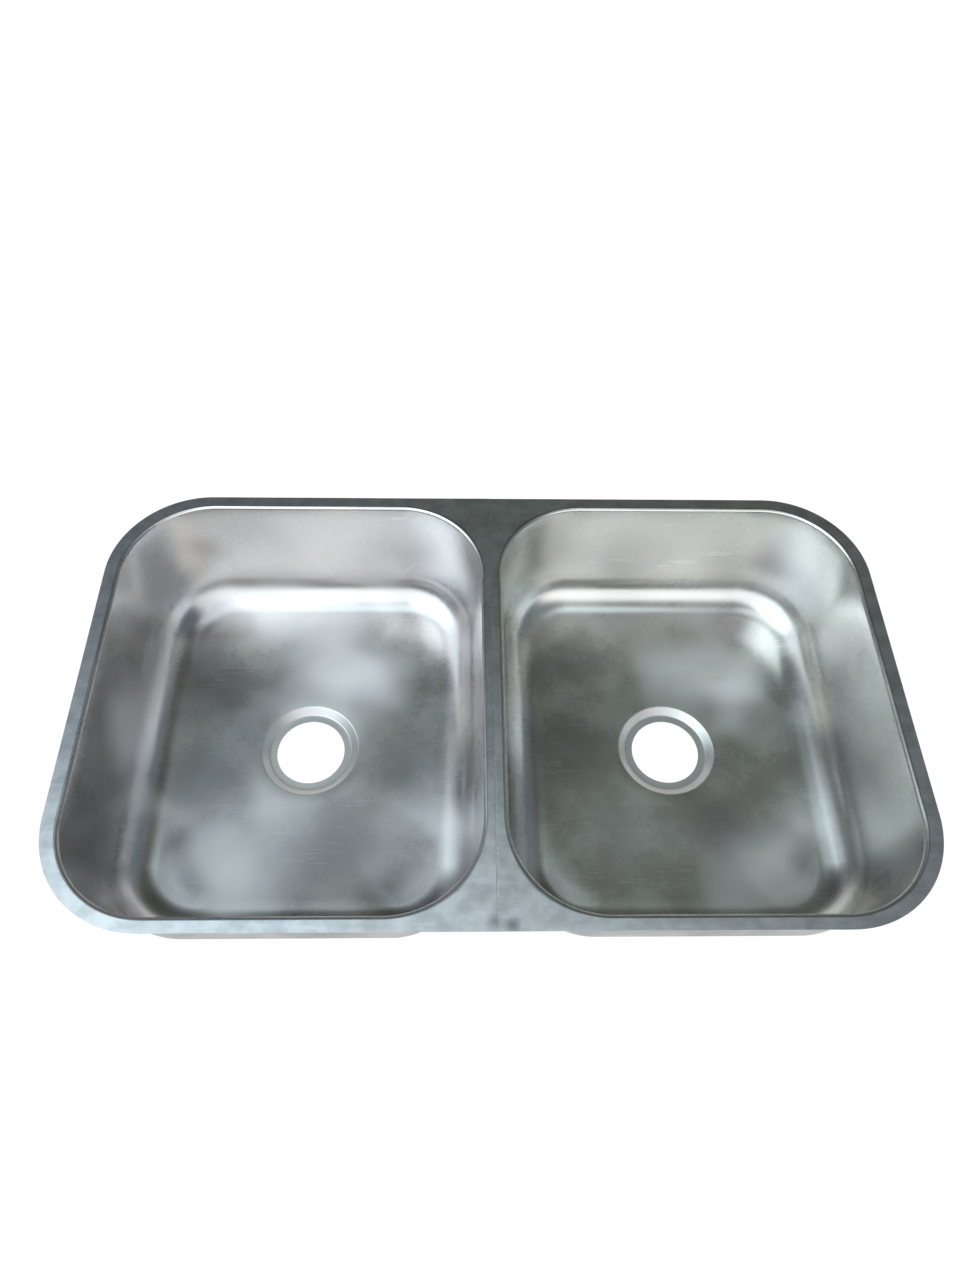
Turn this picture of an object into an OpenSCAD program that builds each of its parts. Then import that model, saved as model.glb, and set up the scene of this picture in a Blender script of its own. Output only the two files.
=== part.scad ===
// Stainless steel double-bowl sink, hung by its flange under a worktop.
// Each bowl is one deep-drawn pressing with its own half of the flat flange. The two flanges are
// butt-welded down the middle of the divider, and sound mats are stuck on the hidden faces.
// Frame: +X right, +Y back, +Z up. The origin is under the middle of the outline, on the plane that
// the undersides of the two drain ledges share, which is what the sink stands on.

/* [Overall] */
// Length over the flange, left to right
sink_l = 960; // [800:1:1160]
// Width over the flange, front to back
sink_w = 558; // [465:1:670]
// Depth of the bowls, from the top of the flange to the floor
bowl_depth = 180; // [150:1:220]
// Thickness of the steel sheet
sheet_t = 1.2; // [0.8:0.1:2]

/* [Flange] */
// Flange width at the two ends, from the edge to the mouth
side_flange_w = 18.5; // [15:0.5:30]
// Flange width along the front
front_flange_w = 16.5; // [13:0.5:30]
// Flange width along the back
back_flange_w = 18; // [15:0.5:30]
// Width of the divider between the two mouths
divider_w = 25.5; // [20:0.5:40]
// Outline radius of the two front corners
front_corner_r = 121; // [100:1:145]
// Outline radius of the two back corners
back_corner_r = 119; // [100:1:145]

/* [Bowls] */
// Plan radius of the corners of each mouth
mouth_corner_r = 105; // [88:1:126]
// Radius of the bend from the flange down into the bowl
bend_r = 4; // [2.5:0.5:6]
// Lean of the walls from upright, in degrees
wall_draft = 4; // [2:0.5:6]
// Radius between the walls and the floor
floor_fillet_r = 45; // [30:1:54]

/* [Drains] */
// Radius of the drain hole
drain_r = 44.5; // [37:0.5:47]
// Radius of the flat ledge round the hole, which the strainer's flange seats on
ledge_r = 53; // [51:0.5:57]
// Radius of the recess where it leaves the floor
recess_r = 64.5; // [62:0.5:77]
// Depth of the recess below the floor
recess_depth = 7.5; // [6:0.25:9]
// Radius of the two bends of the recess
recess_bend_r = 3; // [2.1:0.1:3.6]

/* [Weld] */
// Width of the weld between the two flanges
weld_w = 2.4; // [1.5:0.1:4]
// Width of the bead that stands under the flange
bead_w = 6; // [5:0.5:9]
// Height of the bead under the flange
bead_h = 0.9; // [0.5:0.1:1.5]

/* [Sound mats] */
// Thickness of the rubber mats
mat_t = 3; // [2:0.5:4]
// Plan radius of the mats' corners
mat_corner_r = 8; // [4:1:12]
// Gap between the drain recess and a floor mat
floor_mat_gap = 12; // [8:1:20]
// Gap between a floor mat and the round of the floor, towards the front or the back
floor_mat_edge = 10; // [5:1:20]
// Gap between a floor mat and the round of the floor, at each end
floor_mat_end = 40; // [20:1:60]
// Gap between a wall mat and the bowl's rounded corners
wall_mat_edge = 10; // [5:1:30]
// Gap between a wall mat and the bend under the flange
wall_mat_gap = 8; // [4:1:20]
// Height of the mats on the walls
wall_mat_h = 55; // [40:5:75]

/* [Hidden] */
$fn = 96;

// Straight steps in each bend of the sheet's section
arc_steps = 12;

// How far the rounded parts of the sheet run on into the flat ones, to merge with them
lap = 2;

// Levels
flange_top = bowl_depth + recess_depth + sheet_t;
floor_top = flange_top - bowl_depth;

// One mouth in plan, and the middle of each bowl
mouth_l = (sink_l - 2 * side_flange_w - divider_w) / 2;
mouth_w = sink_w - front_flange_w - back_flange_w;
bowl_x = (divider_w + mouth_l) / 2;
bowl_y = (front_flange_w - back_flange_w) / 2;

// Section through a wall. It is drawn from the middle of a corner outwards, with the flange's top
// at height 0, so the wall starts at mouth_corner_r and leans inwards by the draft.
bend_run = bend_r * tan((90 - wall_draft) / 2);
fillet_run = floor_fillet_r * tan((90 - wall_draft) / 2);
lean_run = bowl_depth * tan(wall_draft);
bend_x = mouth_corner_r + bend_run;
mouth_rim = bend_run + lap / 2;
fillet_x = mouth_corner_r - lean_run - fillet_run;

// Flat part of the floor, measured from the middle of the bowl
floor_half_l = mouth_l / 2 - mouth_corner_r + fillet_x;
floor_half_w = mouth_w / 2 - mouth_corner_r + fillet_x;

// Wall of the recess: a straight slope between its two bends. It is the inner common tangent of
// a circle over the slope's foot and a circle under its top.
slope_dx = recess_r - ledge_r;
slope_dz = recess_depth - 2 * recess_bend_r;
slope_gap = norm([slope_dx, slope_dz]);
slope_lean = atan2(slope_dz, slope_dx) + asin(2 * recess_bend_r / slope_gap);

// Floor mats, from the drain towards the front and the back
floor_mat_in = recess_r + floor_mat_gap;
floor_mat_w = floor_half_w - floor_mat_edge - floor_mat_in;
floor_mat_l = 2 * (floor_half_l - floor_mat_end);

// Wall mats, down the flat part of a wall from the flange's top to the middle of the mat
wall_mat_mid = bend_run + wall_mat_gap + wall_mat_h / 2;
long_mat_l = mouth_w - 2 * (mouth_corner_r + wall_mat_edge);
short_mat_l = mouth_l - 2 * (mouth_corner_r + wall_mat_edge);

steel = [0.66, 0.68, 0.69];
weld_grey = [0.78, 0.79, 0.8];
rubber = [0.12, 0.12, 0.13];

// ---- plan shapes ----

module rounded_rect(l, w, r) {
  square([l - 2 * r, w], center = true);
  square([l, w - 2 * r], center = true);
  for (sx = [-1, 1], sy = [-1, 1])
    translate([sx * (l / 2 - r), sy * (w / 2 - r)]) circle(r);
}

// Right half of the sink's outline, from the weld to the right end
module half_outline() {
  left = weld_w / 2;
  right = sink_l / 2;
  low = -sink_w / 2;
  high = sink_w / 2;
  translate([left, low + front_corner_r])
    square([right - left, sink_w - front_corner_r - back_corner_r]);
  translate([left, low]) square([right - front_corner_r - left, front_corner_r]);
  translate([left, high - back_corner_r]) square([right - back_corner_r - left, back_corner_r]);
  translate([right - front_corner_r, low + front_corner_r])
    quarter_disc(front_corner_r, -90);
  translate([right - back_corner_r, high - back_corner_r])
    quarter_disc(back_corner_r, 0);
}

module quarter_disc(r, turn) {
  rotate(turn) intersection() {
    circle(r);
    square(r);
  }
}

// ---- sections of the sheet ----

// Points along an arc
function arc(middle, r, from, to) =
  [for (i = [0 : arc_steps]) let (a = from + (to - from) * i / arc_steps)
    middle + r * [cos(a), sin(a)]];

// A face of the sheet from the floor out to the flange: drop is how far the face lies under the
// sheet's top face, so it widens the fillet and tightens the bend
function wall_face(drop) = concat(
  [[0, -bowl_depth - drop]],
  arc([fillet_x, floor_fillet_r - bowl_depth], floor_fillet_r + drop, -90, -wall_draft),
  arc([bend_x, -bend_r], bend_r - drop, 180 - wall_draft, 90),
  [[bend_x + lap, -drop]]);

// A face of the sheet from the drain hole out to the floor
function recess_face(drop) = concat(
  [[drain_r, -recess_depth - drop]],
  arc([ledge_r, recess_bend_r - recess_depth], recess_bend_r + drop, -90, slope_lean - 90),
  arc([recess_r, -recess_bend_r], recess_bend_r - drop, 90 + slope_lean, 90),
  [[recess_r + lap, -drop]]);

// The sheet between its top face and its underside
module sheet_section(top, underside) {
  polygon(concat(top, [for (i = [len(underside) - 1 : -1 : 0]) underside[i]]));
}

module wall_section() {
  sheet_section(wall_face(0), wall_face(sheet_t));
}

module recess_section() {
  sheet_section(recess_face(0), recess_face(sheet_t));
}

// ---- bowls ----

// The deep-drawn part of a bowl, centred on the drain, with the flange's top at height 0
module drawn_shell() {
  for (side = [0 : 3]) {
    along = side % 2 == 0 ? mouth_l : mouth_w;
    across = side % 2 == 0 ? mouth_w : mouth_l;
    rotate(90 * side)
      translate([along / 2 - mouth_corner_r, across / 2 - mouth_corner_r, 0]) {
        rotate_extrude(angle = 90) wall_section();
        rotate([90, 0, 0]) linear_extrude(across - 2 * mouth_corner_r) wall_section();
      }
  }
  translate([0, 0, -bowl_depth - sheet_t]) linear_extrude(sheet_t)
    square([mouth_l - 2 * mouth_corner_r, mouth_w - 2 * mouth_corner_r], center = true);
}

// The right bowl; the left one is its mirror image
module bowl() {
  translate([bowl_x, bowl_y, flange_top]) {
    difference() {
      drawn_shell();
      translate([0, 0, -bowl_depth - 2 * sheet_t])
        cylinder(r = recess_r + lap / 2, h = 3 * sheet_t);
    }
    translate([0, 0, -bowl_depth]) rotate_extrude() recess_section();
  }
  translate([0, 0, flange_top - sheet_t]) linear_extrude(sheet_t) difference() {
    half_outline();
    translate([bowl_x, bowl_y])
      rounded_rect(mouth_l + 2 * mouth_rim, mouth_w + 2 * mouth_rim, mouth_corner_r + mouth_rim);
  }
}

module left_bowl() {
  color(steel) mirror([1, 0, 0]) bowl();
}

module right_bowl() {
  color(steel) bowl();
}

// ---- weld ----

// Ground flush on top; the bead that comes through stands under the flange
module seam_weld() {
  bead_r = (bead_w * bead_w / 4 + bead_h * bead_h) / (2 * bead_h);
  color(weld_grey)
    translate([0, sink_w / 2, flange_top - sheet_t]) rotate([90, 0, 0]) linear_extrude(sink_w) {
      translate([-weld_w / 2, 0]) square([weld_w, sheet_t]);
      intersection() {
        translate([0, bead_r - bead_h]) circle(bead_r);
        translate([-bead_w / 2, -bead_h]) square([bead_w, bead_h]);
      }
    }
}

// ---- sound mats ----

// A mat under the floor; toward is 1 for the back of the drain and -1 for the front
module floor_mat(side, toward) {
  color(rubber)
    translate([side * bowl_x, bowl_y + toward * (floor_mat_in + floor_mat_w / 2),
               floor_top - sheet_t - mat_t])
      linear_extrude(mat_t) rounded_rect(floor_mat_l, floor_mat_w, mat_corner_r);
}

// A mat on the outside of the wall that faces the given direction in plan; half_span is that
// wall's distance from the drain at the mouth
module wall_mat(side, facing, half_span, mat_l) {
  color(rubber)
    translate([side * bowl_x, bowl_y, flange_top]) rotate(facing) translate([half_span, 0, 0])
      rotate([0, wall_draft, 0]) translate([sheet_t, 0, -wall_mat_mid]) rotate([90, 0, 90])
        linear_extrude(mat_t) rounded_rect(mat_l, wall_mat_h, mat_corner_r);
}

module left_floor_mat_front() { floor_mat(-1, -1); }
module left_floor_mat_back() { floor_mat(-1, 1); }
module right_floor_mat_front() { floor_mat(1, -1); }
module right_floor_mat_back() { floor_mat(1, 1); }
module left_wall_mat_front() { wall_mat(-1, -90, mouth_w / 2, short_mat_l); }
module left_wall_mat_back() { wall_mat(-1, 90, mouth_w / 2, short_mat_l); }
module left_wall_mat_end() { wall_mat(-1, 180, mouth_l / 2, long_mat_l); }
module right_wall_mat_front() { wall_mat(1, -90, mouth_w / 2, short_mat_l); }
module right_wall_mat_back() { wall_mat(1, 90, mouth_w / 2, short_mat_l); }
module right_wall_mat_end() { wall_mat(1, 0, mouth_l / 2, long_mat_l); }

left_bowl();
right_bowl();
seam_weld();
left_floor_mat_front();
left_floor_mat_back();
right_floor_mat_front();
right_floor_mat_back();
left_wall_mat_front();
left_wall_mat_back();
left_wall_mat_end();
right_wall_mat_front();
right_wall_mat_back();
right_wall_mat_end();
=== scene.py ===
import math

import bmesh
import bpy
from mathutils import Matrix, Vector, noise


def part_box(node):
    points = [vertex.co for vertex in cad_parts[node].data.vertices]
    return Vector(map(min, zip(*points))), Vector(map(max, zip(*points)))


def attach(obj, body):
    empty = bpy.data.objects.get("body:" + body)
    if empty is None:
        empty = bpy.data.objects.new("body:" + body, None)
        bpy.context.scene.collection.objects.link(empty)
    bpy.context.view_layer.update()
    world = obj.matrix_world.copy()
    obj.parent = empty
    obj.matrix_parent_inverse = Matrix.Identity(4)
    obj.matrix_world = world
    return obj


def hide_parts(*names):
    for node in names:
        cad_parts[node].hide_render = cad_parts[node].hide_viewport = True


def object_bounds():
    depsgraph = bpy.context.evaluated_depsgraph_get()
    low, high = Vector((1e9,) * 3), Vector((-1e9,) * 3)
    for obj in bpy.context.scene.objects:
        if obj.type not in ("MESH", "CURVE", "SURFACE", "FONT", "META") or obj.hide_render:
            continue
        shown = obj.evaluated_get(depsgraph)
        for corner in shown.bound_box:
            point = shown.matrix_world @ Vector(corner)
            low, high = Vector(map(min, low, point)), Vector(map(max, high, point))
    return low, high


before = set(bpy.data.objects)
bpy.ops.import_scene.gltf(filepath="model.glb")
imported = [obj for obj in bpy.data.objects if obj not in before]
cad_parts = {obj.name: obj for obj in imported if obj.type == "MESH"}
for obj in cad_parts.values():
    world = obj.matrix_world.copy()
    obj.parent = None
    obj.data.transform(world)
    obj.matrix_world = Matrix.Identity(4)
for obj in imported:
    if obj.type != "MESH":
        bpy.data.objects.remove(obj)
cad_lo, cad_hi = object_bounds()

# ---------------------------------------------------------------- sizes, in metres and radians
MM = 0.001

SHEET = 1.2 * MM              # thickness of the steel
SIDE_FLANGE = 18.5 * MM       # from the outline to a mouth, at the two ends
FRONT_FLANGE = 16.5 * MM
BACK_FLANGE = 18.0 * MM
DIVIDER = 25.5 * MM
FRONT_CORNER = 121 * MM       # outline radii
BACK_CORNER = 119 * MM
MOUTH_CORNER = 105 * MM
BEND = 4 * MM                 # from the flange down into a bowl
DRAFT = math.radians(4)
FILLET = 45 * MM              # between the walls and the floor
DRAIN = 44.5 * MM             # radii of the drain hole, its ledge and its recess
LEDGE = 53 * MM
RECESS = 64.5 * MM
RECESS_DEPTH = 7.5 * MM
RECESS_BEND = 3 * MM
FLOOR_RISE = 4 * MM           # from the drain recess to the round of the floor
FLOOR_RISE_POWER = 3          # the floor is nearly level by the drain and steepens outwards
FLOOR_RISE_ROUND = 0.86       # how round the floor's lines of equal height are at its corners
UNEVEN = 0.35 * MM            # how far the pressed sheet may stand off its true shape
UNEVEN_SCALE = 5.5            # its swells in a metre

WELD = 2.4 * MM
WELD_SINK = 0.05 * MM         # how far the ground top lies under the flange, on average
WELD_SINK_SCALE = 45          # its swells in a metre
WELD_FLAT = 0.4               # share of the ground top that lies at that depth
BEAD = 6 * MM                 # width of the bead under the sheet
BEAD_DROP = 0.9 * MM          # depth of the plain bead
BEAD_SPARE = 0.2 * MM         # how much shallower the rippled one is on average
BEAD_RIPPLE = 0.12 * MM       # height of the regular ripples
BEAD_RIPPLE_RUN = 1.1 * MM    # travel for one radian of a ripple
BEAD_LUMP = 0.15 * MM         # height of the irregular lumps
BEAD_LUMP_SCALE = 60          # lumps in a metre

MAT = 3 * MM                  # thickness of the rubber mats
MAT_CORNER = 8 * MM           # their corners in plan
MAT_ROUND = 1.4 * MM          # rounding of their edges
MAT_RIM = 4 * MM              # plain rim outside the grooves
MAT_GROOVE = 9 * MM           # from one moulded groove to the next
MAT_GROOVE_DEPTH = 0.7 * MM
MAT_GROOVE_POWER = 6          # a larger one makes the grooves narrower
MAT_SWELL = 0.12 * MM         # strength of the shallow dips in the moulded face
MAT_SWELL_SCALE = 22          # dips in a metre
MAT_BED = 0.3 * MM            # how far its glued face beds into the uneven steel

LENGTH = cad_hi.x - cad_lo.x
WIDTH = cad_hi.y - cad_lo.y
TOP = cad_hi.z                               # top of the flange
DEPTH = TOP - SHEET - RECESS_DEPTH           # from the flange's top to the floor of a bowl
MOUTH_L = (LENGTH - 2 * SIDE_FLANGE - DIVIDER) / 2
MOUTH_W = WIDTH - FRONT_FLANGE - BACK_FLANGE
BOWL_X = (DIVIDER + MOUTH_L) / 2
BOWL_Y = (FRONT_FLANGE - BACK_FLANGE) / 2

BEND_RUN = BEND * math.tan((math.pi / 2 - DRAFT) / 2)
FILLET_RUN = FILLET * math.tan((math.pi / 2 - DRAFT) / 2)
WALL_FOOT = DEPTH * math.tan(DRAFT)          # how far in the wall's line meets the floor's
FLOOR_IN = WALL_FOOT + FILLET_RUN            # how far in the flat floor starts

# ---------------------------------------------------------------- fineness of the meshes
CORNER_STEPS = 28                            # points round each corner of a loop
SIDE_STEPS = 26                              # points along each straight side of a loop
FLANGE_SPREAD = (0.0, 0.04, 0.35, 0.7, 0.93)   # rings across the flange, from its edge to the mouth
FLANGE_RINGS = len(FLANGE_SPREAD) + 1          # with the one that starts the bend
BEND_STEPS = 7
WALL_STEPS = 8
FILLET_STEPS = 18
FLOOR_STEPS = 13
RECESS_STEPS = 5
LEDGE_SPREAD = (0.5, 0.0)                    # rings across the ledge, the last at the drain hole
WELD_STEPS = 360
MAT_STEP = 1 * MM                            # across the grooves
MAT_LONG_STEP = 4 * MM                       # along them
MAT_EDGE = (0, 0.1 * MM, 0.35 * MM, 0.8 * MM, MAT_ROUND)   # rows from a mat's edge inwards
SAME_PLACE = 0.004 * MM                      # points closer than this become one
BOWL_CREASE = 40                             # edges sharper than this stay crisp, in degrees
PIECE_CREASE = 50

# The section of the bead: shares of its half width and of its depth
BEAD_SECTION = ((0.75, 0.55), (0.35, 0.92), (0.0, 1.0), (-0.35, 0.92), (-0.75, 0.55))


# ---------------------------------------------------------------- camera
# Where the camera stands from the sink's middle, and how it is turned
EYE_X = -0.0398
EYE_Y = -0.4901
EYE_HEIGHT = 0.9134           # over the flange's top
PITCH = 1.0275                # downwards, and all three turns are in radians
YAW = -0.0449
ROLL = 0.0406
LENS = 25.11                  # focal length and sensor width, in millimetres
SENSOR = 36


def make_camera():
    """The view of the sink from in front and well above, held with a slight turn and roll."""
    eye = Vector((EYE_X, EYE_Y, TOP + EYE_HEIGHT))
    level = math.cos(PITCH)
    ahead = Vector((-math.sin(YAW) * level, math.cos(YAW) * level, -math.sin(PITCH)))
    right = Vector((math.cos(YAW), math.sin(YAW), 0))
    up = right.cross(ahead)
    side = right * math.cos(ROLL) + up * math.sin(ROLL)
    head = -right * math.sin(ROLL) + up * math.cos(ROLL)
    data = bpy.data.cameras.new("camera")
    data.lens = LENS
    data.sensor_width = SENSOR
    cam = bpy.data.objects.new("camera", data)
    cam.matrix_world = Matrix.Translation(eye) @ Matrix((side, head, -ahead)).transposed().to_4x4()
    bpy.context.collection.objects.link(cam)
    bpy.context.scene.camera = cam


# ---------------------------------------------------------------- mesh helpers
def add_object(name, bm, material):
    mesh = bpy.data.meshes.new(name)
    bm.normal_update()
    bm.to_mesh(mesh)
    bm.free()
    mesh.materials.append(material)
    obj = bpy.data.objects.new(name, mesh)
    bpy.context.collection.objects.link(obj)
    return obj


def shade_by_angle(obj, degrees):
    """Smooth shading that keeps the edges sharper than this crisp."""
    mesh = obj.data
    mesh.polygons.foreach_set("use_smooth", [True] * len(mesh.polygons))
    mesh.set_sharp_from_angle(angle=math.radians(degrees))


def arc(cx, cz, r, start, end, steps):
    """Points on an arc in a section, from one angle to another in degrees."""
    turn = (end - start) / steps
    angles = [math.radians(start + turn * i) for i in range(steps + 1)]
    return [(cx + r * math.cos(a), cz + r * math.sin(a)) for a in angles]


def join_closed_rows(bm, rows, pairs):
    """Faces between pairs of closed rows of points, all of the same length."""
    count = len(rows[0])
    for a, b in pairs:
        for i in range(count):
            j = (i + 1) % count
            bm.faces.new((a[i], a[j], b[j], b[i]))


def rounded_loop(half_l, half_w, r):
    """A rounded rectangle as a list of points, anticlockwise from the middle of the right side."""
    points = []
    for turn in range(4):
        along, across = (half_l, half_w) if turn % 2 == 0 else (half_w, half_l)
        spin = Matrix.Rotation(turn * math.pi / 2, 2)
        half = across - r
        for i in range(SIDE_STEPS // 2):
            points.append(spin @ Vector((along, half * 2 * i / SIDE_STEPS)))
        for i in range(CORNER_STEPS):
            a = math.pi / 2 * i / CORNER_STEPS
            points.append(spin @ Vector((along - r + r * math.cos(a), half + r * math.sin(a))))
        for i in range(SIDE_STEPS // 2):
            points.append(spin @ Vector((along - r - (along - r) * 2 * i / SIDE_STEPS, across)))
    return points


def outline_loop():
    """The edge of the right-hand flange about the middle of its bowl, with as many points as a
    mouth has: round corners at the end of the sink and square ones at the weld."""
    points = []
    weld = WELD / 2 - BOWL_X
    end = LENGTH / 2 - BOWL_X
    back = WIDTH / 2 - BOWL_Y
    front = -WIDTH / 2 - BOWL_Y
    side_half = SIDE_STEPS // 2
    corner_half = CORNER_STEPS // 2

    def line(a, b, steps):
        points.extend(Vector(a).lerp(Vector(b), i / steps) for i in range(steps))

    def corner(cx, cy, r, start):
        for i in range(CORNER_STEPS):
            a = math.radians(start + 90 * i / CORNER_STEPS)
            points.append(Vector((cx + r * math.cos(a), cy + r * math.sin(a))))

    line((end, 0), (end, back - BACK_CORNER), side_half)
    corner(end - BACK_CORNER, back - BACK_CORNER, BACK_CORNER, 0)
    line((end - BACK_CORNER, back), (0, back), side_half)
    line((0, back), (-MOUTH_L / 2 + MOUTH_CORNER, back), side_half)
    line((-MOUTH_L / 2 + MOUTH_CORNER, back), (weld, back), corner_half)
    line((weld, back), (weld, MOUTH_W / 2 - MOUTH_CORNER), corner_half)
    line((weld, MOUTH_W / 2 - MOUTH_CORNER), (weld, 0), side_half)
    line((weld, 0), (weld, -MOUTH_W / 2 + MOUTH_CORNER), side_half)
    line((weld, -MOUTH_W / 2 + MOUTH_CORNER), (weld, front), corner_half)
    line((weld, front), (-MOUTH_L / 2 + MOUTH_CORNER, front), corner_half)
    line((-MOUTH_L / 2 + MOUTH_CORNER, front), (0, front), side_half)
    line((0, front), (end - FRONT_CORNER, front), side_half)
    corner(end - FRONT_CORNER, front + FRONT_CORNER, FRONT_CORNER, -90)
    line((end, front + FRONT_CORNER), (end, 0), side_half)
    return points


# ---------------------------------------------------------------- the drawn bowls
def wall_section(drop):
    """(inset from the mouth, height from the flange's top) down one face of the sheet, from the
    flange to the floor. drop is how far the face lies under the sheet's top face."""
    lean = math.degrees(DRAFT)
    bend = arc(-BEND_RUN, -BEND, BEND - drop, 90, lean, BEND_STEPS)
    fillet = arc(FLOOR_IN, FILLET - DEPTH, FILLET + drop, 180 + lean, 270, FILLET_STEPS)
    (x0, z0), (x1, z1) = bend[-1], fillet[0]
    run, fall = x1 - x0, z1 - z0
    wall = [(x0 + run * i / WALL_STEPS, z0 + fall * i / WALL_STEPS) for i in range(1, WALL_STEPS)]
    return bend + wall + fillet


def recess_section(drop):
    """(radius, height over the floor) from the floor to the drain hole along one face."""
    dx, dz = RECESS - LEDGE, RECESS_DEPTH - 2 * RECESS_BEND
    lean = math.degrees(math.atan2(dz, dx) + math.asin(2 * RECESS_BEND / math.hypot(dx, dz)))
    top = arc(RECESS, -RECESS_BEND, RECESS_BEND - drop, 90, 90 + lean, RECESS_STEPS)
    foot = arc(LEDGE, RECESS_BEND - RECESS_DEPTH, RECESS_BEND + drop, lean - 90, -90, RECESS_STEPS)
    ledge = [(DRAIN + (LEDGE - DRAIN) * f, -RECESS_DEPTH - drop) for f in LEDGE_SPREAD]
    return top + foot + ledge


def unevenness(x, y, z, seed):
    """How far the pressed sheet stands off its true shape here, in metres."""
    p = Vector((x * UNEVEN_SCALE, y * UNEVEN_SCALE, z * UNEVEN_SCALE))
    return noise.noise(p + Vector((seed, 3.1 * seed, 0))) * UNEVEN


def floor_fall(x, y, z):
    """How much higher than at the drain the floor stands here: it falls gently to the recess, and
    the rise dies out up the walls."""
    out_l = x / (MOUTH_L / 2 - FLOOR_IN)
    out_w = y / (MOUTH_W / 2 - FLOOR_IN)
    out = max(abs(out_l), abs(out_w), math.hypot(out_l, out_w) * FLOOR_RISE_ROUND)
    start = RECESS / (MOUTH_L / 2 - FLOOR_IN)
    share = min(max((out - start) / (1 - start), 0), 1)
    return FLOOR_RISE * share ** FLOOR_RISE_POWER * min(max(-z / DEPTH, 0), 1)


def pressed(x, y, z, seed):
    """Where a point of the true shape stands on the pressed sheet."""
    return Vector((x, y, z + unevenness(x, y, z, seed) + floor_fall(x, y, z)))


def sheet_rings(drop, seed):
    """Rings of points from the flange's edge to the drain hole along one face of the sheet."""
    edge = outline_loop()
    rings = []
    mouth = rounded_loop(MOUTH_L / 2 + BEND_RUN, MOUTH_W / 2 + BEND_RUN, MOUTH_CORNER + BEND_RUN)
    for f in FLANGE_SPREAD:
        rings.append([(*e.lerp(m, f), -drop) for e, m in zip(edge, mouth)])
    for inset, height in wall_section(drop):
        loop = rounded_loop(MOUTH_L / 2 - inset, MOUTH_W / 2 - inset, MOUTH_CORNER - inset)
        rings.append([(p.x, p.y, height) for p in loop])
    floor = rings[-1]
    section = recess_section(drop)
    rim = [Vector((x, y)).normalized() * section[0][0] for x, y, _ in floor]
    for i in range(1, FLOOR_STEPS):
        f = i / FLOOR_STEPS
        rings.append([(*Vector(a[:2]).lerp(b, f), a[2]) for a, b in zip(floor, rim)])
    for r, height in section:
        scale = r / section[0][0]
        rings.append([(b.x * scale, b.y * scale, height - DEPTH) for b in rim])
    return [[pressed(*point, seed) for point in ring] for ring in rings]


def make_bowl(name, side, seed, material):
    """One pressing: side is 1 for the right bowl and -1 for the left one."""
    top = sheet_rings(0, seed)
    under = sheet_rings(SHEET, seed)
    rings = top + under[::-1]
    bm = bmesh.new()
    flange_mask = bm.verts.layers.float.new("flange")
    rim_mask = bm.verts.layers.float.new("rim")
    raw_mask = bm.verts.layers.float.new("raw")
    recess_mask = bm.verts.layers.float.new("recess")
    recess_start = len(top) - len(recess_section(0)) + 1
    verts = []
    for number, ring in enumerate(rings):
        verts.append([bm.verts.new((side * (BOWL_X + p.x), BOWL_Y + p.y, TOP + p.z)) for p in ring])
        for vert in verts[-1]:
            vert[flange_mask] = float(min(number, len(rings) - 1 - number) < FLANGE_RINGS)
            vert[rim_mask] = float(number == FLANGE_RINGS - 1)
            vert[raw_mask] = float(number >= len(top))
            vert[recess_mask] = float(recess_start <= number < len(top))
    join_closed_rows(bm, verts, zip(verts, verts[1:] + verts[:1]))
    bmesh.ops.recalc_face_normals(bm, faces=bm.faces)
    obj = add_object(name, bm, material)
    shade_by_angle(obj, BOWL_CREASE)
    return obj


# ---------------------------------------------------------------- the weld
def weld_section(y):
    """(x, z) round the weld at this place along it."""
    half = WELD / 2
    bead = BEAD / 2
    bottom = TOP - SHEET
    lump = BEAD_LUMP * noise.noise(Vector((0, y * BEAD_LUMP_SCALE, 7)))
    ripple = BEAD_RIPPLE * math.sin(y / BEAD_RIPPLE_RUN) + lump
    sink = WELD_SINK * (1 + noise.noise(Vector((4, y * WELD_SINK_SCALE, 1))))
    deep = BEAD_DROP - BEAD_SPARE + ripple
    ground = [(-half, TOP), (-half * WELD_FLAT, TOP - sink), (half * WELD_FLAT, TOP - sink), (half, TOP)]
    round_bead = [(bead * across, bottom - deep * down) for across, down in BEAD_SECTION]
    right = [(half, bottom), (bead, bottom)]
    left = [(-bead, bottom), (-half, bottom)]
    return ground + right + round_bead + left


def make_weld(material):
    """Flush and ground on top, with the rippled bead that came through standing underneath."""
    bm = bmesh.new()
    rows = []
    for i in range(WELD_STEPS + 1):
        y = -WIDTH / 2 + WIDTH * i / WELD_STEPS
        rows.append([bm.verts.new((x, y, z)) for x, z in weld_section(y)])
    join_closed_rows(bm, rows, zip(rows, rows[1:]))
    bm.faces.new(rows[0])
    bm.faces.new(rows[-1][::-1])
    bmesh.ops.recalc_face_normals(bm, faces=bm.faces)
    obj = add_object("seam_weld_bead", bm, material)
    shade_by_angle(obj, PIECE_CREASE)
    return obj


# ---------------------------------------------------------------- sound mats
def mat_steps(half, step):
    """Places across a mat from one edge to the other, close together where the edges are round."""
    inner = half - MAT_RIM
    count = max(2, round(inner * 2 / step))
    middle = [-inner + inner * 2 * i / count for i in range(count + 1)]
    edge = [half - d for d in MAT_EDGE]
    return [-v for v in edge] + middle + edge[::-1]


def corner_pull(v, half):
    """How far a mat's round corners cut its end back at this distance from its middle."""
    over = abs(v) - (half - MAT_CORNER)
    return MAT_CORNER - math.sqrt(max(MAT_CORNER * MAT_CORNER - over * over, 0)) if over > 0 else 0


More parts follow.
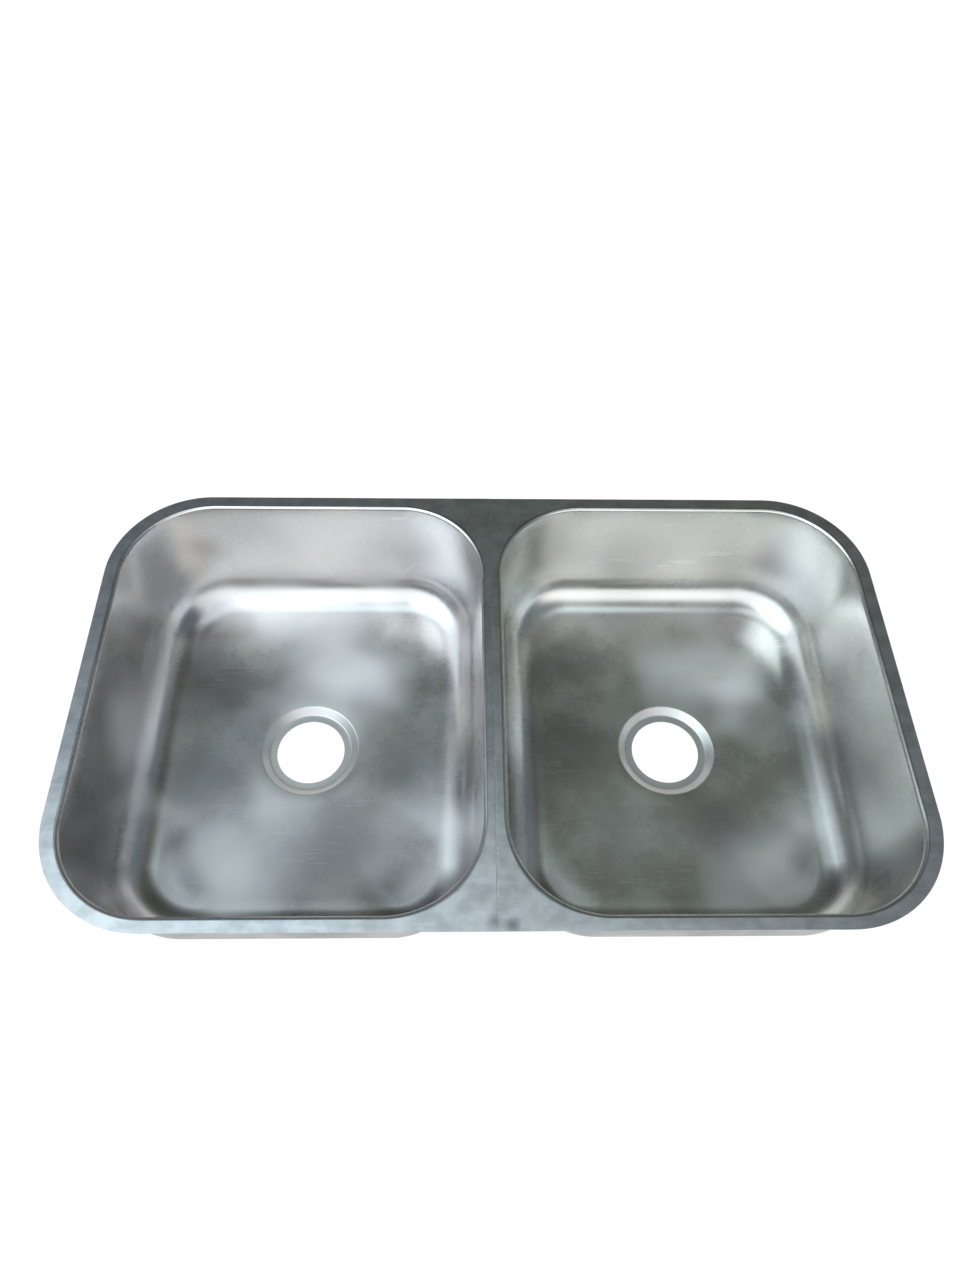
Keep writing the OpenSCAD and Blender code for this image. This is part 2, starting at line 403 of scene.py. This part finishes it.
def border_distance(u, v, half_l, half_w):
    """How far inside the mat's outline this point lies."""
    du = abs(u) - (half_l - MAT_CORNER)
    dv = abs(v) - (half_w - MAT_CORNER)
    outside = math.hypot(max(du, 0), max(dv, 0))
    return MAT_CORNER - outside - min(max(du, dv), 0)


def mat_height(u, v, inside, seed):
    """Thickness of a mat at a point: a rounded rim, then grooves with soft sides."""
    if inside < MAT_ROUND:
        drop = MAT_ROUND - math.sqrt(max(MAT_ROUND ** 2 - (MAT_ROUND - inside) ** 2, 0))
        return MAT - drop
    fade = min(1, max(0, (inside - MAT_RIM) / MAT_RIM))
    wave = 0.5 + 0.5 * math.cos(2 * math.pi * v / MAT_GROOVE)
    swell = MAT_SWELL * (noise.noise(Vector((u * MAT_SWELL_SCALE, v * MAT_SWELL_SCALE, seed))) - 0.5)
    return MAT - fade * (MAT_GROOVE_DEPTH * wave ** MAT_GROOVE_POWER - min(swell, 0))


def make_mat(name, length, width, placement, seed, material):
    """A moulded rubber mat with a rounded rim and shallow grooves along its length. placement
    takes (along, across, outwards) from the middle of the glued face to the sink."""
    half_l, half_w = length / 2, width / 2
    rows = mat_steps(half_w, MAT_STEP)
    columns = mat_steps(half_l, MAT_LONG_STEP)
    last_row, last_column = len(rows) - 1, len(columns) - 1
    bm = bmesh.new()
    outer, glued = [], []
    for v in rows:
        pull = corner_pull(v, half_w)
        places = [u * (half_l - pull) / half_l for u in columns]
        depths = [max(border_distance(u, v, half_l, half_w), 0) for u in places]
        face = [Vector((u, v, mat_height(u, v, d, seed))) for u, d in zip(places, depths)]
        outer.append([bm.verts.new(placement @ point) for point in face])
        glued.append([bm.verts.new(placement @ Vector((u, v, -MAT_BED))) for u in places])
    for grid in (outer, glued):
        for a, b in zip(grid, grid[1:]):
            for i in range(last_column):
                bm.faces.new((a[i], a[i + 1], b[i + 1], b[i]))
    rim = [(j, 0) for j in range(last_row + 1)]
    rim += [(last_row, i) for i in range(1, last_column + 1)]
    rim += [(j, last_column) for j in range(last_row - 1, -1, -1)]
    rim += [(0, i) for i in range(last_column - 1, 0, -1)]
    for (j, i), (k, n) in zip(rim, rim[1:] + rim[:1]):
        bm.faces.new((outer[j][i], outer[k][n], glued[k][n], glued[j][i]))
    bmesh.ops.remove_doubles(bm, verts=bm.verts, dist=SAME_PLACE)
    bmesh.ops.recalc_face_normals(bm, faces=bm.faces)
    obj = add_object(name, bm, material)
    shade_by_angle(obj, PIECE_CREASE)
    return obj


def seed_of(node):
    """A steady number from a name, under a prime, so that the mats don't all dip alike."""
    return sum(ord(letter) * (i + 1) for i, letter in enumerate(node)) % 97


def mat_from_node(node, material):
    """The detailed mat that stands for a plain CAD one, in the place that the CAD gives it."""
    lo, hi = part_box(node)
    size = hi - lo
    if "floor" in node:
        along, outwards, width = Vector((1, 0, 0)), Vector((0, 0, -1)), size.y
    else:
        side = -1 if node.startswith("left") else 1
        plan = {"front": Vector((0, -1, 0)), "back": Vector((0, 1, 0)), "end": Vector((side, 0, 0))}
        facing = plan[node.rsplit("_", 1)[1]]
        along = Vector((abs(facing.y), abs(facing.x), 0))
        outwards = facing * math.cos(DRAFT) - Vector((0, 0, math.sin(DRAFT)))
        width = (size.z - MAT * math.sin(DRAFT)) / math.cos(DRAFT)
    across = outwards.cross(along)
    glued_middle = (lo + hi) / 2 - outwards * MAT / 2
    turned = Matrix((along, across, outwards)).transposed().to_4x4()
    placement = Matrix.Translation(glued_middle) @ turned
    return make_mat(node + "_rubber", abs(size.dot(along)), width, placement, seed_of(node), material)


# ---------------------------------------------------------------- looks: colours and roughnesses
SATIN_ROUGHNESS = (0.24, 0.32)               # least and most, in plain satin inside a bowl
SATIN_PALER = 1.08                           # how much brighter its pale clouds are
SCRATCH_STEEL = (0.9, 0.9, 0.9)
SCRATCH_ROUGHNESS = 0.30
RECESS_STEEL = (0.56, 0.555, 0.54)
RECESS_ROUGHNESS = 0.42
FLANGE_STEEL = ((0.51, 0.52, 0.535), (0.69, 0.70, 0.72))   # dark and pale in its mottle
FLANGE_STREAK = (0.74, 0.77, 0.80)
FLANGE_ROUGHNESS = 0.31
RIM_SHADE = (0.10, 0.11, 0.12)               # the line where the flange bends into a bowl
PIT_SHADE = (0.05, 0.05, 0.05)
RAW_STEEL = ((0.33, 0.33, 0.33), (0.47, 0.47, 0.46))       # dark and pale clouds underneath
RAW_ROUGHNESS = 0.5
GRAIN_ROUGHNESS = 0.10                       # how far the fine grain spreads the roughness
WELD_BANDS = ((0.52, 0.54, 0.56), (0.64, 0.66, 0.69))      # dark and pale bands across the seam
WELD_PATCH = (0.46, 0.46, 0.47)
WELD_ROUGHNESS = (0.29, 0.36)
RUBBER = ((0.018, 0.018, 0.02), (0.075, 0.072, 0.068))     # clean and dusty
RUBBER_ROUGHNESS = (0.55, 0.85)
PATCH_WANDER = 0.10                          # how strongly clouds push about the polish patches and the light and shade painted in them

# Colour and roughness of the steel where the polishing left it hazy, so that it scatters more
# light, and where it left it smooth and dark. The pale hazy colour is partly painted highlight and
# reflection, and the dark smooth colour is partly painted shade and dark reflection.
HAZE_AND_PAINTED_HIGHLIGHT = ((0.91, 0.91, 0.92), 0.62)
SMOOTH_AND_PAINTED_SHADE = ((0.415, 0.40, 0.40), 0.22)

# Those patches in the left bowl (-1) and the right bowl (1): x, to the right in both, and y from
# the middle of the bowl, height over the floor, radius, and strength, over 0 for a hazy one and
# under 0 for a smooth one. Each is painted over the ones before it. Besides uneven polish, they
# put painted highlights, reflections and shade on the walls and floor.
POLISH_AND_PAINTED_LIGHT = {
    -1: (
        (0.04, 0.10, 0, 0.11, 0.9), (-0.09, -0.19, 0, 0.11, 0.7), (-0.03, -0.07, 0, 0.06, 0.3),
        (-0.15, 0.09, 0, 0.10, -0.7), (-0.14, -0.195, 0.01, 0.06, -1.0), (-0.14, -0.04, 0, 0.09, -0.8),
        (-0.17, -0.13, 0, 0.05, -0.7), (-0.205, -0.07, 0.02, 0.05, 0.6), (0.12, -0.03, 0, 0.07, -0.6),
        (0.05, -0.13, 0, 0.08, -0.8), (0.127, -0.195, 0.01, 0.055, -1.0), (0.05, 0.17, 0, 0.08, -0.5),
        (-0.165, 0.245, 0.09, 0.06, -0.9), (-0.215, 0.0, 0.08, 0.08, 0.9),
        (-0.235, 0.13, 0.10, 0.09, -0.5), (-0.22, -0.17, 0.10, 0.10, -0.3),
        (0.13, 0.25, 0.08, 0.10, -0.8), (0.19, -0.13, 0.02, 0.06, 0.8), (-0.05, 0.25, 0.11, 0.07, -0.3),
        (-0.13, 0.24, 0.03, 0.06, 0.6), (-0.17, 0.20, 0.01, 0.04, -0.9), (-0.15, 0.228, 0.02, 0.025, 1.0),
        (-0.06, 0.25, 0.045, 0.07, 0.5), (0.08, 0.25, 0.045, 0.07, 0.4),
    ),
    1: (
        (0.04, 0.12, 0, 0.11, 0.5), (0.09, 0.07, 0, 0.07, 0.7), (0.10, -0.15, 0, 0.09, 0.5),
        (-0.12, 0.0, 0, 0.09, -0.4), (-0.08, -0.13, 0, 0.08, -0.4), (-0.17, -0.19, 0.02, 0.05, -0.9),
        (0.06, -0.09, 0, 0.10, -0.7), (-0.14, 0.14, 0, 0.08, -0.4), (0.17, 0.26, 0.10, 0.06, -1.0),
        (-0.19, -0.03, 0.05, 0.15, -0.6), (0.205, -0.09, 0.10, 0.11, -0.6), (0.165, -0.17, 0, 0.06, -0.8),
        (0.185, -0.02, 0.01, 0.07, -0.7), (0.16, 0.09, 0, 0.07, -0.5), (-0.04, 0.25, 0.08, 0.10, -0.8),
        (-0.15, 0.25, 0.10, 0.08, -0.7), (0.12, 0.18, 0, 0.06, -0.9),
    ),
}

# Small dark marks in each bowl, painted shade of small dents in the steel: x and y from its
# middle, height over the floor, and radius
DENT_SHADE_MARKS = {
    -1: ((0.13, 0.262, 0.08, 0.005), (0.17, 0.19, 0.0, 0.005), (-0.155, 0.20, 0.0, 0.005)),
    1: ((-0.04, 0.262, 0.08, 0.007), (0.13, 0.262, 0.08, 0.005), (0.10, 0.20, 0.0, 0.005),
        (-0.16, 0.17, 0.0, 0.005)),
}

# Heat marks of the welding, at the front of the divider: x and y from the middle of the sink,
# radius and strength
HEAT_MARKS = ((-0.004, -0.270, 0.013, 0.55), (0.014, -0.273, 0.012, 0.7), (0.004, -0.255, 0.014, 0.3),
              (-0.010, -0.240, 0.016, 0.2), (0.012, -0.228, 0.016, 0.15))
BURNT_AND_DENT_SHADE = (0.15, 0.14, 0.15)                   # colour of the heat marks, and of the small marks of painted dent shade


# ---------------------------------------------------------------- looks: helpers
def new_material(name):
    material = bpy.data.materials.new(name)
    material.use_nodes = True
    tree = material.node_tree
    return material, tree, tree.nodes["Principled BSDF"]


def add_node(tree, kind, values, **settings):
    """A node with its settings, and its inputs by name or number: a socket is linked to one, and
    a number or a colour is set on it."""
    made = tree.nodes.new("ShaderNode" + kind)
    for name, value in settings.items():
        setattr(made, name, value)
    for name, value in values.items():
        if isinstance(value, bpy.types.NodeSocket):
            tree.links.new(value, made.inputs[name])
        else:
            made.inputs[name].default_value = value
    return made


def object_place(tree):
    return add_node(tree, "TexCoord", {}).outputs["Object"]


def mask(tree, name):
    return add_node(tree, "Attribute", {}, attribute_name=name).outputs["Fac"]


def calc(tree, operation, a, b):
    return add_node(tree, "Math", {0: a, 1: b}, operation=operation).outputs[0]


def vector_calc(tree, operation, a, b, result):
    return add_node(tree, "VectorMath", {0: a, 1: b}, operation=operation).outputs[result]


def mix_values(tree, factor, a, b):
    return add_node(tree, "Mix", {0: factor, 2: a, 3: b}).outputs[0]


def mix_colours(tree, factor, a, b):
    """Colour a turned to colour b. Both may be (r, g, b)."""
    a, b = [(*c, 1) if isinstance(c, tuple) and len(c) == 3 else c for c in (a, b)]
    return add_node(tree, "Mix", {0: factor, 6: a, 7: b}, data_type="RGBA").outputs[2]


def painted(tree, below, colour, where, strength):
    """The colour below with another over it, as far as a mask and a strength let it through."""
    return mix_colours(tree, calc(tree, "MULTIPLY", where, strength), below, colour)


def ramp(tree, value, start, end):
    """0 below start, 1 above end and smooth between them; start may be the larger one."""
    values = {"Value": value, "From Min": start, "From Max": end, "To Min": 0.0, "To Max": 1.0}
    return add_node(tree, "MapRange", values, interpolation_type="SMOOTHSTEP").outputs["Result"]


def clouds(tree, place, scale, detail, roughness=0.5):
    values = {"Vector": place, "Scale": scale, "Detail": detail, "Roughness": roughness}
    return add_node(tree, "TexNoise", values).outputs["Fac"]


def moved(tree, place, turn, scale, shift=(0, 0, 0)):
    """The place turned about Z by some degrees, scaled and shifted."""
    values = {"Vector": place, "Rotation": (0, 0, math.radians(turn)), "Scale": scale, "Location": shift}
    return add_node(tree, "Mapping", values).outputs["Vector"]


def scratches(tree, place, turn, seed):
    """Sparse hairlines about one direction, from 0 to 1."""
    drawn_out = moved(tree, place, turn, scale=(14, 900, 14), shift=(seed, 0, 0))
    spread = moved(tree, place, turn, scale=(9, 9, 9), shift=(0, seed, 0))
    line = ramp(tree, clouds(tree, drawn_out, scale=1.0, detail=2.0), start=0.64, end=0.72)
    where = ramp(tree, clouds(tree, spread, scale=1.0, detail=1.0), start=0.45, end=0.7)
    return calc(tree, "MULTIPLY", line, where)


def specks(tree, place, scale, radius, share):
    """Round pits: this share of the cells of this scale holds one."""
    cells = add_node(tree, "TexVoronoi", {"Vector": place, "Scale": scale})
    near = ramp(tree, cells.outputs["Distance"], radius * scale, radius * scale * 0.5)
    number = add_node(tree, "SeparateColor", {0: cells.outputs["Color"]}).outputs[0]
    return calc(tree, "MULTIPLY", near, calc(tree, "LESS_THAN", number, share))


def patch(tree, place, middle, radius, strength):
    """A soft round patch of that strength about one point."""
    away = vector_calc(tree, "DISTANCE", place, middle, "Value")
    return calc(tree, "MULTIPLY", ramp(tree, away, radius, 0.0), strength)


def in_bowl(side, x, y, height):
    """A point given from the middle of a bowl's floor, in the sink's own axes."""
    return (side * BOWL_X + x, BOWL_Y + y, TOP - DEPTH + height)


def heat_marked(tree, colour, place):
    for x, y, radius, strength in HEAT_MARKS:
        spot = patch(tree, place, (x, y, TOP), radius, strength)
        colour = mix_colours(tree, spot, colour, BURNT_AND_DENT_SHADE)
    return colour


# ---------------------------------------------------------------- looks: the materials
def satin_steel(tree, side, tint, true_place, place, broad):
    """Colour and roughness of the satin inside a bowl, with its polish patches, which also carry painted
    highlights, reflections and shade, and its dark marks of painted shade from small dents.
    """
    soft = clouds(tree, place, scale=8.0, detail=1.0)
    wander = calc(tree, "MULTIPLY", calc(tree, "SUBTRACT", soft, 0.5), PATCH_WANDER)
    wandered = vector_calc(tree, "ADD", true_place, wander, "Vector")
    paler = tuple(c * SATIN_PALER for c in tint)
    satin = mix_colours(tree, ramp(tree, broad, start=0.3, end=0.7), tint, paler)
    rough = mix_values(tree, ramp(tree, broad, start=0.25, end=0.75), *SATIN_ROUGHNESS)
    # the patches: uneven polish, with pale painted highlights and reflections and dark painted shade
    for x, y, height, radius, strength in POLISH_AND_PAINTED_LIGHT[side]:
        spot = patch(tree, wandered, in_bowl(side, x, y, height), radius, abs(strength))
        colour, roughness = HAZE_AND_PAINTED_HIGHLIGHT if strength > 0 else SMOOTH_AND_PAINTED_SHADE
        satin = mix_colours(tree, spot, satin, colour)
        rough = mix_values(tree, spot, rough, roughness)
    # small dark marks: painted shade of small dents
    for x, y, height, radius in DENT_SHADE_MARKS[side]:
        spot = patch(tree, true_place, in_bowl(side, x, y, height), radius, 1.0)
        satin = mix_colours(tree, spot, satin, BURNT_AND_DENT_SHADE)
    return satin, rough


def flange_steel(tree, true_place, place):
    """Colour of the flange: mottled and streaked, with the heat marks of the welding."""
    mottle = clouds(tree, place, scale=42.0, detail=5.0, roughness=0.6)
    drawn_out = moved(tree, place, turn=20, scale=(1, 8, 1))
    streaks = clouds(tree, drawn_out, scale=22.0, detail=3.0)
    dull = mix_colours(tree, ramp(tree, mottle, start=0.3, end=0.7), *FLANGE_STEEL)
    dull = painted(tree, dull, FLANGE_STREAK, ramp(tree, streaks, start=0.5, end=0.8), strength=0.6)
    dull = heat_marked(tree, dull, true_place)
    return painted(tree, dull, RIM_SHADE, mask(tree, "rim"), strength=0.8)


def steel_material(name, side, tint, seed):
    """Satin steel inside the bowl, a duller mottled flange and a raw underside."""
    material, tree, shader = new_material(name)
    true_place = object_place(tree)
    place = moved(tree, true_place, turn=0, scale=(1, 1, 1), shift=(seed, seed * 0.7, 0))
    flange, raw, recess = [mask(tree, part) for part in ("flange", "raw", "recess")]
    broad = clouds(tree, place, scale=13.0, detail=4.0, roughness=0.6)
    grain = clouds(tree, place, scale=1500.0, detail=2.0)
    one_way = scratches(tree, place, turn=24, seed=1.7)
    other_way = scratches(tree, place, turn=-38, seed=6.1)
    lines = calc(tree, "MAXIMUM", one_way, other_way)
    pits = specks(tree, place, scale=48.0, radius=0.9 * MM, share=0.06)

    satin, rough = satin_steel(tree, side, tint, true_place, place, broad)
    satin = painted(tree, satin, SCRATCH_STEEL, lines, strength=0.45)
    satin = painted(tree, satin, RECESS_STEEL, recess, strength=0.6)
    colour = mix_colours(tree, flange, satin, flange_steel(tree, true_place, place))
    colour = painted(tree, colour, PIT_SHADE, pits, strength=0.75)
    drawn = mix_colours(tree, ramp(tree, broad, start=0.3, end=0.7), *RAW_STEEL)
    tree.links.new(mix_colours(tree, raw, colour, drawn), shader.inputs["Base Color"])

    rough = mix_values(tree, recess, rough, RECESS_ROUGHNESS)
    rough = mix_values(tree, lines, rough, SCRATCH_ROUGHNESS)
    rough = mix_values(tree, flange, rough, FLANGE_ROUGHNESS)
    rough = mix_values(tree, raw, rough, RAW_ROUGHNESS)
    uneven = calc(tree, "MULTIPLY", calc(tree, "SUBTRACT", grain, 0.5), GRAIN_ROUGHNESS)
    tree.links.new(calc(tree, "ADD", rough, uneven), shader.inputs["Roughness"])

    height = calc(tree, "SUBTRACT", calc(tree, "MULTIPLY", grain, 0.35), lines)
    bump = add_node(tree, "Bump", {"Height": height, "Strength": 0.12, "Distance": 0.02 * MM})
    tree.links.new(bump.outputs["Normal"], shader.inputs["Normal"])
    shader.inputs["Metallic"].default_value = 1.0
    return material


def weld_material():
    """Ground weld metal: bright, with bands across the seam."""
    material, tree, shader = new_material("weld_steel")
    place = object_place(tree)
    banded = moved(tree, place, turn=0, scale=(40, 420, 40))
    bands = clouds(tree, banded, scale=1.0, detail=3.0)
    patches = clouds(tree, place, scale=30.0, detail=2.0)
    colour = mix_colours(tree, ramp(tree, bands, start=0.35, end=0.65), *WELD_BANDS)
    colour = mix_colours(tree, ramp(tree, patches, start=0.55, end=0.75), colour, WELD_PATCH)
    tree.links.new(heat_marked(tree, colour, place), shader.inputs["Base Color"])
    tree.links.new(mix_values(tree, bands, *WELD_ROUGHNESS), shader.inputs["Roughness"])
    shader.inputs["Metallic"].default_value = 1.0
    return material


def rubber_material():
    """Black moulded rubber with dusty wear and a fine grain."""
    material, tree, shader = new_material("mat_rubber")
    place = object_place(tree)
    dust = ramp(tree, clouds(tree, place, scale=18.0, detail=6.0, roughness=0.65), start=0.48, end=0.78)
    grain = clouds(tree, place, scale=900.0, detail=3.0)
    tree.links.new(mix_colours(tree, dust, *RUBBER), shader.inputs["Base Color"])
    tree.links.new(mix_values(tree, dust, *RUBBER_ROUGHNESS), shader.inputs["Roughness"])
    bump = add_node(tree, "Bump", {"Height": grain, "Strength": 0.35, "Distance": 0.12 * MM})
    tree.links.new(bump.outputs["Normal"], shader.inputs["Normal"])
    return material


# ---------------------------------------------------------------- stage and light
STAGE_SIZE = 30               # in metres
STAGE_GREY = (0.1, 0.1, 0.1, 1)
STAGE_ROUGHNESS = 0.9
STAGE_GLOW = 0.96             # its own light, so that it meets the backdrop without an edge

# Soft panels of the studio, painted one over another on the sky round the sink: compass direction
# in degrees (0 is behind the sink and 90 at its right), elevation, radius, softness and light.
PANELS = (
    (85, 20, 30, 12, (0.16, 0.21, 0.24)),    # a dark wall on the right
    (335, 83, 16, 7, (1.44, 1.64, 1.72)),    # straight above
    (160, 28, 26, 10, (1.55, 1.59, 1.58)),   # the big window in front
    (202, 42, 26, 10, (1.60, 1.70, 1.74)),
    (248, 40, 28, 10, (1.80, 2.08, 2.28)),
    (239, 59, 14, 7, (3.10, 3.45, 3.60)),    # light from high on the left
    (306, 63, 15, 7, (1.36, 1.66, 1.80)),
    (288, 62, 11, 6, (2.10, 2.50, 2.65)),
    (332, 51, 19, 8, (0.06, 0.06, 0.08)),    # the dim room behind
    (16, 53, 23, 8, (0.07, 0.08, 0.06)),
)
ROOM = (0.22, 0.23, 0.24)                    # light from the rest of the sky
BACKDROP = (1.0, 1.0, 1.0)                   # what the camera sees of it


def make_stage():
    bpy.ops.mesh.primitive_plane_add(size=STAGE_SIZE, location=(0, 0, 0))
    floor = bpy.context.object
    floor.name = "floor"
    material, _, shader = new_material("floor_paper")
    shader.inputs["Base Color"].default_value = STAGE_GREY
    shader.inputs["Roughness"].default_value = STAGE_ROUGHNESS
    shader.inputs["Emission Color"].default_value = (1, 1, 1, 1)
    shader.inputs["Emission Strength"].default_value = STAGE_GLOW
    floor.data.materials.append(material)


def make_light():
    world = bpy.data.worlds.new("studio")
    world.use_nodes = True
    tree = world.node_tree
    way = add_node(tree, "TexCoord", {}).outputs["Generated"]
    light = (*ROOM, 1)
    for compass, elevation, radius, soft, colour in PANELS:
        a, e = math.radians(compass), math.radians(elevation)
        middle = (math.sin(a) * math.cos(e), math.cos(a) * math.cos(e), math.sin(e))
        facing = vector_calc(tree, "DOT_PRODUCT", way, middle, "Value")
        outer, inner = [math.cos(math.radians(radius + d)) for d in (soft, -soft)]
        light = mix_colours(tree, ramp(tree, facing, outer, inner), light, colour)
    seen = add_node(tree, "LightPath", {}).outputs["Is Camera Ray"]
    tree.links.new(mix_colours(tree, seen, light, BACKDROP), tree.nodes["Background"].inputs["Color"])
    bpy.context.scene.world = world


# ---------------------------------------------------------------- build
# Each bowl's name, side, seed and the tint of its satin. The tint is the steel's own warm colour;
# its small difference between the bowls, pinker on the left and greener on the right, is a
# painted reflection of the room's colours.
BOWLS = (
    ("right", 1, 2.3, (0.645, 0.645, 0.62)),
    ("left", -1, 8.9, (0.65, 0.635, 0.63)),
)

make_camera()

for label, side, seed, tint in BOWLS:
    steel = steel_material(label + "_steel", side, tint, seed)
    bowl = make_bowl(label + "_bowl_steel", side, seed, steel)
    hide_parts(label + "_bowl")
    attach(bowl, "root")

weld = make_weld(weld_material())
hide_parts("seam_weld")
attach(weld, "root")

rubber = rubber_material()
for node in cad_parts:
    if "_mat_" in node:
        mat = mat_from_node(node, rubber)
        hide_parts(node)
        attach(mat, "root")

make_stage()
make_light()
bpy.context.scene.view_settings.view_transform = "Standard"
